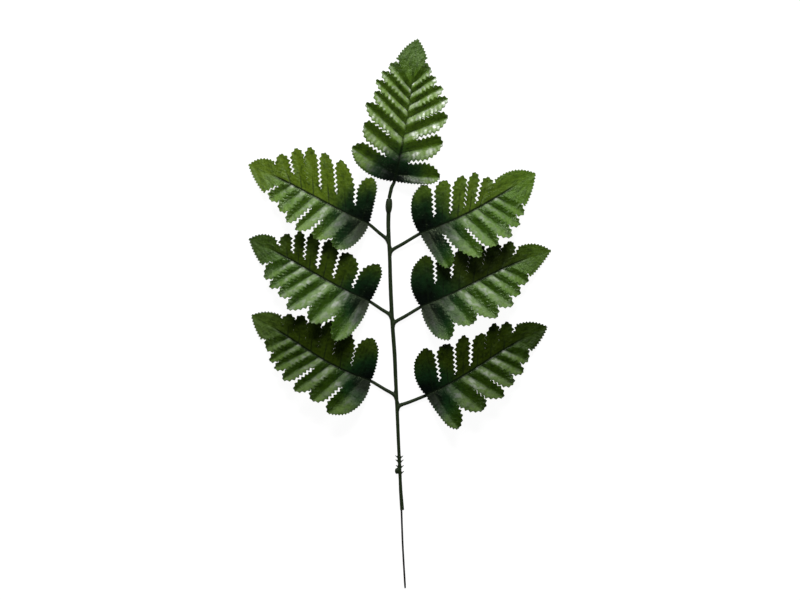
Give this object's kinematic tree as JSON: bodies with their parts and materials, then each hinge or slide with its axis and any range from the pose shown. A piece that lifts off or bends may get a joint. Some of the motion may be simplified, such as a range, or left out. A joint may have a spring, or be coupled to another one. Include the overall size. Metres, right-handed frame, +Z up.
{
  "type": "artificial fern spray",
  "caption": "Artificial leatherleaf fern spray: flat pressed fabric leaves with deep toothed lobes on moulded green stems round a wire whose bare tail sticks out below.",
  "frame": {"origin": "centre of the spray's box in plan, at the height of the surface that it lies on", "axes": "+Y towards the top leaf's tip, +X to the right across the spray, +Z up from the surface, towards the leaves' upper faces"},
  "size_m": [0.2517, 0.4571, 0.0249],
  "materials": {
    "leaf_fabric": "satin woven fabric, printed dark blackish green near the midrib's base and olive green towards the tips",
    "stem_plastic": "satin moulded plastic, dark green",
    "wire_steel": "dark annealed wire"
  },
  "bodies": {
    "root": {"stem": "stem_plastic", "top_twig": "stem_plastic", "wire": "wire_steel", "leaf_left_1": "leaf_fabric", "leaf_left_2": "leaf_fabric", "leaf_left_3": "leaf_fabric", "leaf_right_1": "leaf_fabric", "leaf_right_2": "leaf_fabric", "leaf_right_3": "leaf_fabric", "leaf_top": "leaf_fabric"}
  },
  "joints": []
}
